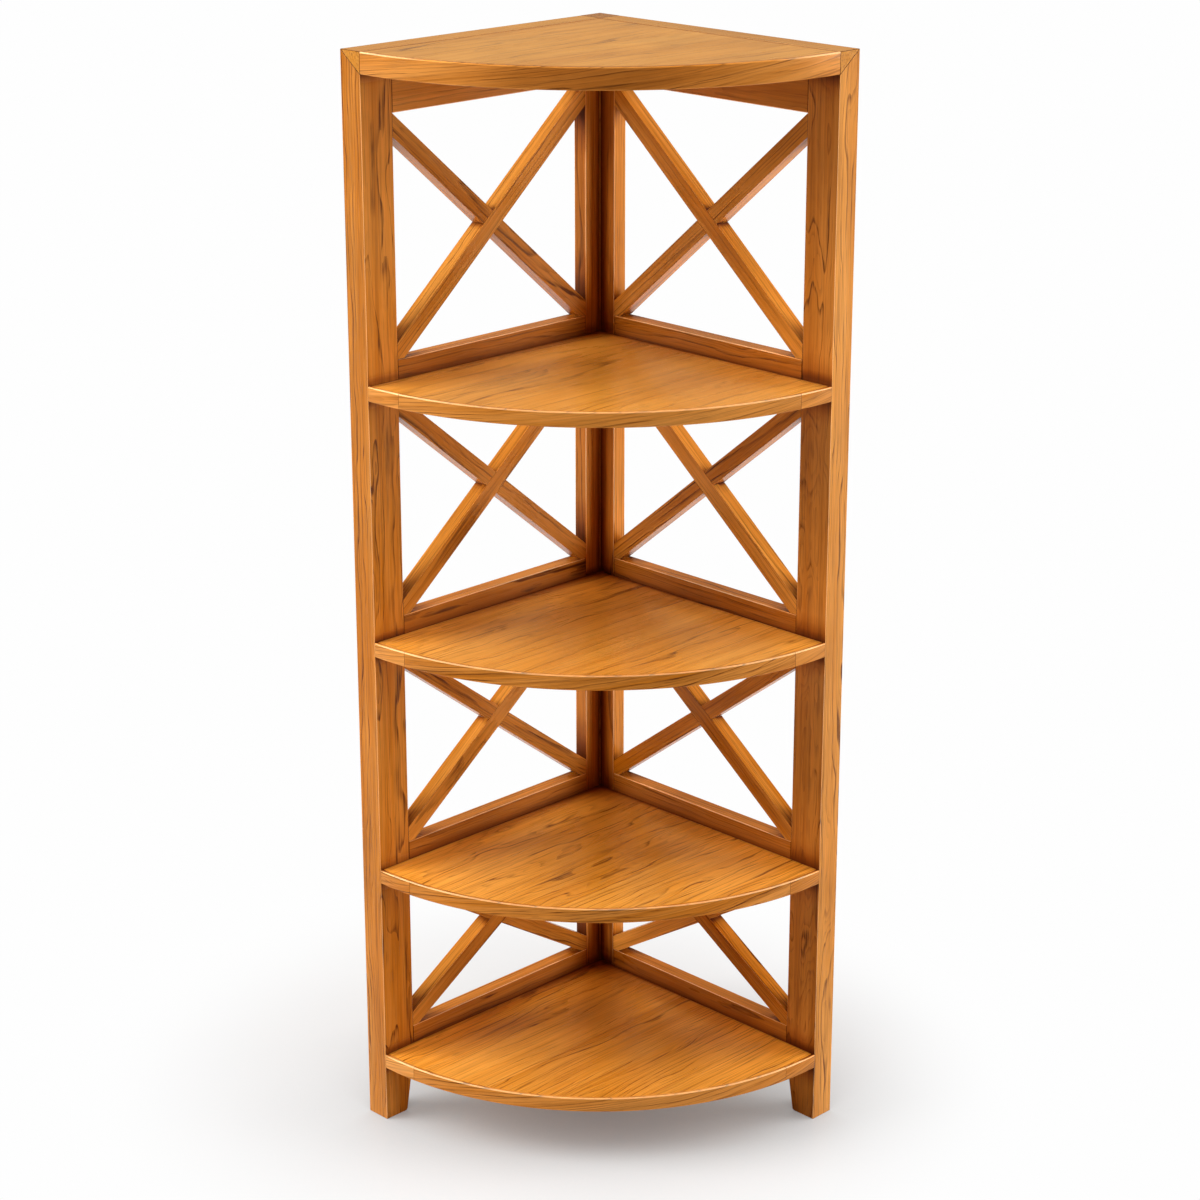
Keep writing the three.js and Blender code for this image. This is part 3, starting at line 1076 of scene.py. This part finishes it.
def quarter_board(name, lipping_thickness):
    """A quarter-round board between its rails and its lipping, with the joins cut in."""
    low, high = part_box(name)
    radius = shelf_radius - lipping_thickness
    trim = math.asin(glue_line / radius)
    turns = [
        -math.pi / 2 + trim + (math.pi / 2 - 2 * trim) * i / curve_steps
        for i in range(curve_steps + 1)
    ]
    outline = [(glue_line, -glue_line)] + [
        (radius * math.cos(turn), radius * math.sin(turn)) for turn in turns
    ]
    board = bmesh.new()
    rim = [
        board.verts.new((inner_corner.x + x, inner_corner.y + y, low.z)) for x, y in outline
    ]
    bottom = board.faces.new(rim)
    grown = bmesh.ops.extrude_face_region(board, geom=[bottom])
    lifted = [item for item in grown["geom"] if isinstance(item, bmesh.types.BMVert)]
    bmesh.ops.translate(board, verts=lifted, vec=(0, 0, high.z - low.z))
    for i in range(1, math.ceil(radius / strip_width)):
        for side in (-join_line, join_line):
            join = (inner_corner.x + i * strip_width + side, 0, 0)
            cut_across(board, join, (1, 0, 0))
    for direction in (Vector((1, 0, 0)), Vector((0, -1, 0))):
        for away in (frame_line[name], *shading_cuts):
            cut_across(board, inner_corner + direction * away, direction)
        cut_in_lengths(board, direction, shelf_step)
    bmesh.ops.recalc_face_normals(board, faces=board.faces)
    return board


# %% Making the shelf boards
panels = {"top_panel": 0.005, **{f"shelf_{i}_panel": 0.004 for i in (1, 2, 3, 4)}}
for name, lipping_thickness in panels.items():
    board = quarter_board(name, lipping_thickness)
    for edge in board.edges:
        edge.smooth = edge.calc_face_angle(0) < sharp
    for face in board.faces:
        face.smooth = True
    mesh = bpy.data.meshes.new(name)
    board.to_mesh(mesh)
    board.free()
    mesh.materials.append(varnished["panel_wood"])
    grain = StraightGrain(inner_corner, Vector((0, -1, 0)), Vector((0, 0, 1)))
    mark_grain(
        mesh, name, grain, panel_edge(name), strip_of, corner_shade(name), short_reaches
    )
    place_piece(f"teak_{name}", mesh, "panel_wood", name)
    print(name, len(mesh.polygons), "faces")

# %% [markdown]
# ## Bent lippings
#
# The curved edges are covered by a thin strip of solid teak, bent and glued round the
# board, with a short separate piece at each end of a shelf. Its shape follows a rule: one
# section, rounded on its two outer edges, carried along an arc. So it is made with
# Geometry Nodes: an arc, a section and Curve to Mesh. Only the numbers differ from piece
# to piece, so one tree makes all thirteen.

# %% A tree for lippings
lipping_tree = bpy.data.node_groups.new("bent_lipping", "GeometryNodeTree")
name_sockets(lipping_tree, {
    "Radius": ("Float", 0.368), "Start angle": ("Float", 0.0),
    "Sweep angle": ("Float", 1.0), "Steps": ("Int", 96), "Thickness": ("Float", 0.004),
    "Height": ("Float", 0.018), "Edge rounding": ("Float", 0.0015),
    "Rounding steps": ("Int", 5), "Material": ("Material", None),
}, {"Geometry": "Geometry"})
asked = add(lipping_tree, "NodeGroupInput").outputs
arc = add(
    lipping_tree, "GeometryNodeCurveArc",
    {"Resolution": asked["Steps"], "Radius": asked["Radius"],
     "Start Angle": asked["Start angle"], "Sweep Angle": asked["Sweep angle"]},
    mode="RADIUS",
)
double = add(
    lipping_tree, "ShaderNodeMath", [asked["Thickness"], 2.0], operation="MULTIPLY"
)
bar = add(
    lipping_tree, "GeometryNodeCurvePrimitiveQuadrilateral",
    {"Width": double, "Height": asked["Height"]}, mode="RECTANGLE",
)
rounded = add(
    lipping_tree, "GeometryNodeFilletCurve",
    {"Curve": bar, "Count": asked["Rounding steps"], "Radius": asked["Edge rounding"]},
    mode="POLY",
)
corner_place = add(lipping_tree, "GeometryNodeInputPosition")
spot = add(lipping_tree, "ShaderNodeSeparateXYZ", [corner_place])
outside = add(lipping_tree, "ShaderNodeMath", [spot.outputs["X"], 0.0], operation="MAXIMUM")
half_place = add(
    lipping_tree, "ShaderNodeCombineXYZ", {"X": outside, "Y": spot.outputs["Y"]}
)
half = add(
    lipping_tree, "GeometryNodeSetPosition", {"Geometry": rounded, "Position": half_place}
)
swept = add(
    lipping_tree, "GeometryNodeCurveToMesh",
    {"Curve": arc, "Profile Curve": half, "Fill Caps": True},
)
clean = add(
    lipping_tree, "GeometryNodeMergeByDistance", {"Geometry": swept, "Distance": same_spot}
)
real = add(lipping_tree, "GeometryNodeRealizeInstances", {"Geometry": clean})
varnish = add(
    lipping_tree, "GeometryNodeSetMaterial",
    {"Geometry": real, "Material": asked["Material"]},
)
add(lipping_tree, "NodeGroupOutput", {"Geometry": varnish})
print("lipping tree takes", [socket.name for socket in asked if socket.name])


# %% Running a tree on its own
def grown_mesh(name, tree, values, base=None):
    """The plain mesh that a Geometry Nodes tree makes with these values."""
    start = base or bpy.data.meshes.new(name + "_start")
    carrier = bpy.data.objects.new(name + "_draft", start)
    put_in_scene(carrier)
    nodes = carrier.modifiers.new("nodes", "NODES")
    nodes.node_group = tree
    for item in tree.interface.items_tree:
        if item.in_out == "INPUT" and item.name in values:
            nodes[item.identifier] = values[item.name]
    seen = carrier.evaluated_get(bpy.context.evaluated_depsgraph_get())
    mesh = bpy.data.meshes.new_from_object(seen)
    mesh.name = name
    carrier.modifiers.clear()
    bpy.data.objects.remove(carrier)
    return mesh


# %% Making the lippings
quarter = math.pi / 2
quarter_steps, least_steps = 96, 8
end_length, climb = 0.048, 0.14  # m, and how much the grain climbs as it runs along
end_turn = end_length / shelf_radius
trim = glue_line / shelf_radius
rounded_slopes = (0.15, 0.97)  # between a flat side and a flat top
# painted highlight, less in the middle, painted light on the lower edge, and painted shade
# in the middle of the top's edge
highlight_dip, lower_edge_light, middle_shade_depth = 0.1, 0.25, 0.34
stretches = {"top_lipping": (-quarter + trim, -trim, 0.005)}
for i in (1, 2, 3, 4):
    stretches[f"shelf_{i}_lipping"] = (-quarter + end_turn + trim, -end_turn - trim, 0.004)
    stretches[f"shelf_{i}_lipping_end_left"] = (-quarter + trim, -quarter + end_turn, 0.004)
    stretches[f"shelf_{i}_lipping_end_right"] = (-end_turn, -trim, 0.004)


def in_middle(point):
    """1 in the middle of the curve, and 0 at its ends."""
    turn = math.atan2(point.y - inner_corner.y, point.x - inner_corner.x)
    return math.sin(-2 * turn)


def lipping_edge(polygon):
    """The upper rounded edge gets a painted highlight, strongest at its ends, and the lower
    one a little painted light.
    """
    slope = polygon.normal.z
    if not rounded_slopes[0] < abs(slope) < rounded_slopes[1]:
        return 0.0
    return 1.0 - highlight_dip * in_middle(polygon.center) ** 2 if slope > 0 else lower_edge_light


def middle_shade(point):
    """Painted shade on the middle of the top's edge."""
    return -middle_shade_depth * max(0.0, in_middle(point)) ** 2


for name, (start, stop, thickness) in stretches.items():
    low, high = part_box(name)
    sweep = stop - start
    mesh = grown_mesh(name, lipping_tree, {
        "Radius": shelf_radius - thickness, "Start angle": start, "Sweep angle": sweep,
        "Steps": max(least_steps, round(quarter_steps * sweep / quarter)),
        "Thickness": thickness, "Height": high.z - low.z, "Edge rounding": 0.0015,
        "Rounding steps": 5, "Material": varnished["lipping_wood"],
    })
    centre = inner_corner + Vector((0, 0, (low.z + high.z) / 2))
    mesh.transform(Matrix.Translation(centre))
    mesh.shade_smooth()
    mesh.set_sharp_from_angle(angle=sharp)
    mark_grain(
        mesh, name, BentGrain(centre, shelf_radius, climb), lipping_edge,
        shade_of=middle_shade if name == "top_lipping" else None,
    )
    place_piece(f"teak_{name}", mesh, "lipping_wood", name)
print(len(stretches), "lippings bent")

# %% [markdown]
# ## Screws on the wall side
#
# A shelf is held by two screws through each of its rails, driven from the wall side
# where nobody sees them. They are countersunk steel screws with a cross recess. The same
# small head is needed sixteen times, so Geometry Nodes put one head on each of sixteen
# points and turn it to face the wall, each with its cross at its own angle.

# %% Bright steel
# Zinc-plated steel, rolled and pressed: a pale grey mirror, blurred by the plating.
crystals_in_a_metre = 900
steel, plate = blank_material("zinc_plated_steel")
plate_place = add(plate, "ShaderNodeTexCoord")
crystals = add(
    plate, "ShaderNodeTexNoise",
    {"Vector": plate_place.outputs["Object"], "Scale": crystals_in_a_metre},
)
plating = add(
    plate, "ShaderNodeMix",
    {"Factor_Float": crystals, "A_Color": tint("#A9A7A0"), "B_Color": tint("#D6D4CC")},
    data_type="RGBA",
)
blur = add(plate, "ShaderNodeMapRange", {"Value": crystals, "To Min": 0.28, "To Max": 0.42})
metal = add(
    plate, "ShaderNodeBsdfPrincipled",
    {"Base Color": plating, "Metallic": 1.0, "Roughness": blur},
)
add(plate, "ShaderNodeOutputMaterial", {"Surface": metal})
print("plating crystals about", round(1000 / crystals_in_a_metre, 1), "mm")

# %% A tree for the screws
screw_tree = bpy.data.node_groups.new("screws_on_points", "GeometryNodeTree")
name_sockets(screw_tree, {
    "Geometry": ("Geometry", None), "Head diameter": ("Float", 0.0078),
    "Head height": ("Float", 0.0008), "Recess width": ("Float", 0.0010),
    "Recess length": ("Float", 0.0044), "Seed": ("Int", 7), "Material": ("Material", None),
}, {"Geometry": "Geometry"})
recess_lift = (0, 0, 0.0003)  # m, so that the cross is cut from the front only
wanted = add(screw_tree, "NodeGroupInput").outputs
half_width = add(
    screw_tree, "ShaderNodeMath", [wanted["Head diameter"], 0.5], operation="MULTIPLY"
)
disc = add(
    screw_tree, "GeometryNodeMeshCylinder",
    {"Vertices": 24, "Radius": half_width, "Depth": wanted["Head height"]},
)
crossed = []
for size in (("Recess length", "Recess width"), ("Recess width", "Recess length")):
    bar_size = add(
        screw_tree, "ShaderNodeCombineXYZ",
        {"X": wanted[size[0]], "Y": wanted[size[1]], "Z": wanted["Head height"]},
    )
    slot_bar = add(screw_tree, "GeometryNodeMeshCube", {"Size": bar_size})
    crossed.append(add(
        screw_tree, "GeometryNodeTransform",
        {"Geometry": slot_bar, "Translation": recess_lift},
    ))
head = add(screw_tree, "GeometryNodeMeshBoolean", {"Mesh 1": disc}, operation="DIFFERENCE")
for slot_bar in crossed:
    screw_tree.links.new(slot_bar.outputs[0], head.inputs["Mesh 2"])
facing = add(
    screw_tree, "GeometryNodeInputNamedAttribute", {"Name": "facing"},
    data_type="FLOAT_VECTOR",
)
turned = add(screw_tree, "FunctionNodeAlignRotationToVector", {"Vector": facing}, axis="Z")
spun = add(
    screw_tree, "FunctionNodeRandomValue",
    {"Min_001": 0.0, "Max_001": math.pi, "Seed": wanted["Seed"]}, data_type="FLOAT",
)
spin = add(screw_tree, "ShaderNodeCombineXYZ", {"Z": spun})
twisted = add(
    screw_tree, "FunctionNodeRotateRotation", {"Rotation": turned, "Rotate By": spin},
    rotation_space="LOCAL",
)
placed = add(
    screw_tree, "GeometryNodeInstanceOnPoints",
    {"Points": wanted["Geometry"], "Instance": head, "Rotation": twisted},
)
real_screws = add(screw_tree, "GeometryNodeRealizeInstances", {"Geometry": placed})
plated = add(
    screw_tree, "GeometryNodeSetMaterial",
    {"Geometry": real_screws, "Material": wanted["Material"]},
)
add(screw_tree, "NodeGroupOutput", {"Geometry": plated})
print("screw tree takes", [socket.name for socket in wanted if socket.name])

# %% Driving the screws
along_rail = (0.24, 0.76)  # where along its rail each of the two screws sits
proud = 0.0001  # m, of its head in front of the rail
spots, facings = [], []
for i in (1, 2, 3, 4):
    shelf_low, shelf_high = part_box(f"shelf_{i}_panel")
    height = (shelf_low.z + shelf_high.z) / 2
    rail_low, rail_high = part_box(f"rail_left_{i}")
    for share in along_rail:
        along = rail_low.y + (rail_high.y - rail_low.y) * share
        spots.append((rail_low.x - proud, along, height))
        facings.append((-1, 0, 0))
    rail_low, rail_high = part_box(f"rail_right_{i}")
    for share in along_rail:
        along = rail_low.x + (rail_high.x - rail_low.x) * share
        spots.append((along, rail_high.y + proud, height))
        facings.append((0, 1, 0))
points = bpy.data.meshes.new("screw_places")
points.from_pydata(spots, [], [])
arrows = points.attributes.new("facing", "FLOAT_VECTOR", "POINT")
for arrow, direction in zip(arrows.data, facings):
    arrow.vector = direction
screw_mesh = grown_mesh("wall_side_screws", screw_tree, {"Material": steel}, points)
screws = bpy.data.objects.new("wall_side_screws", screw_mesh)
put_in_scene(screws)
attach(screws, "root")
print(len(spots), "screws,", len(screw_mesh.polygons), "faces")
